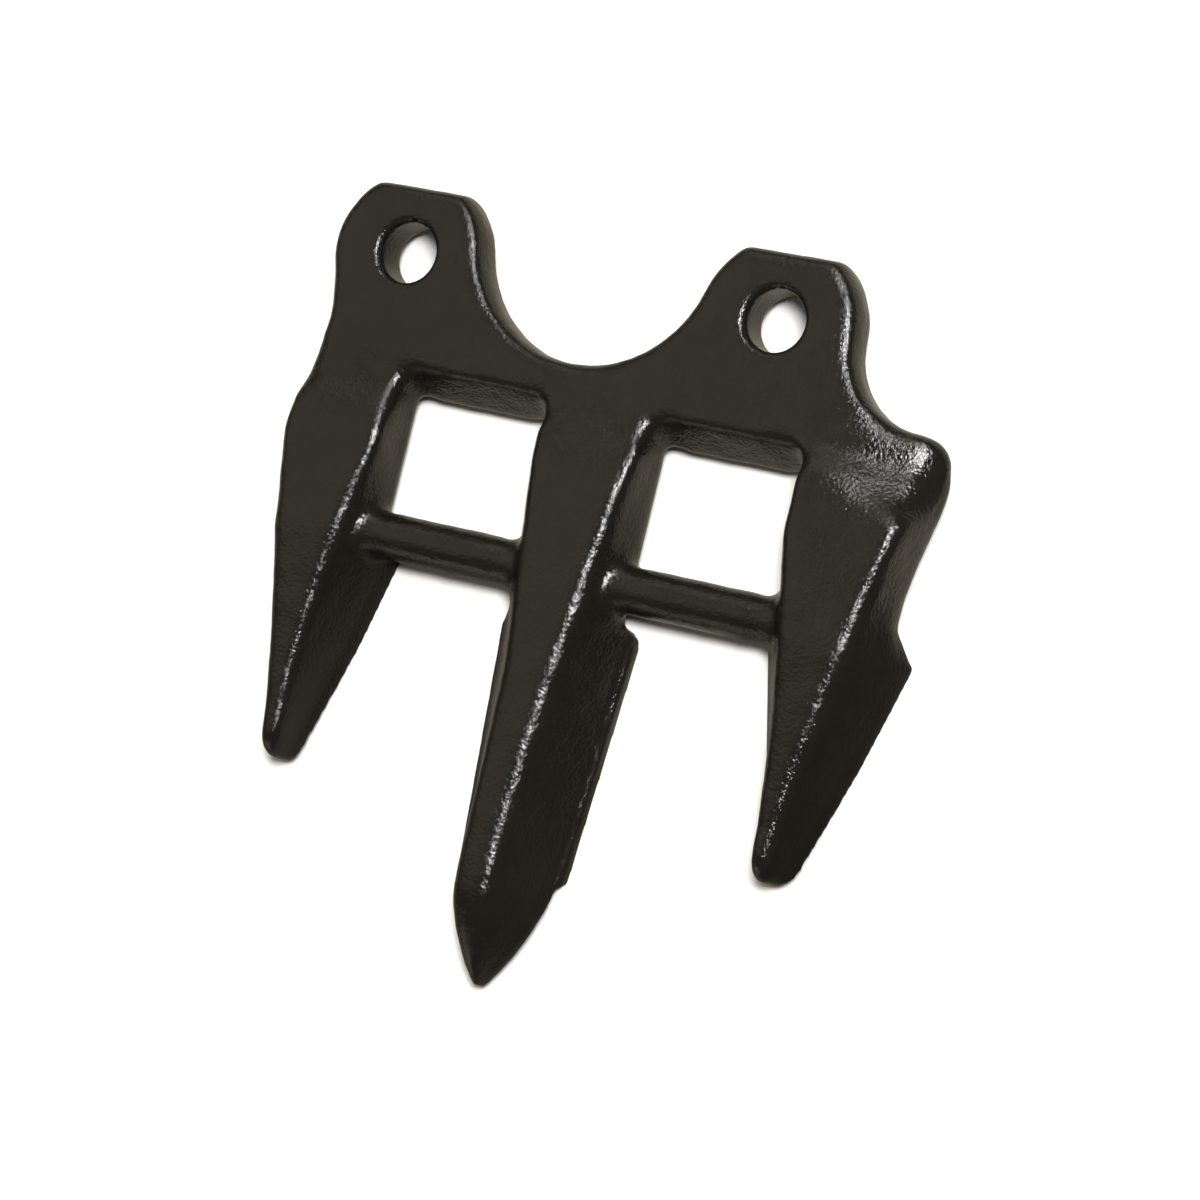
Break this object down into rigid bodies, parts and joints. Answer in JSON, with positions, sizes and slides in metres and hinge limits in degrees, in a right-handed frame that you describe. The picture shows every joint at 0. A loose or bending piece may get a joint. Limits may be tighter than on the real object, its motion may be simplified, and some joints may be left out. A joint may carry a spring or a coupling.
{
  "type": "mower knife guard",
  "caption": "Forged guard with pointed prongs, crossbars and bolt ears that fastens to a mower's cutter bar and shields and guides the knife.",
  "frame": {"origin": "midway between the two bolt holes, on the face that seats on the cutter bar", "axes": "+X along the row of prongs, +Y from the prong tips towards the bolt ears, +Z out of the ribbed front face"},
  "size_m": [0.1334, 0.1418, 0.015],
  "materials": {
    "guard": "gloss"
  },
  "bodies": {
    "root": {"guard": "guard"}
  },
  "joints": []
}
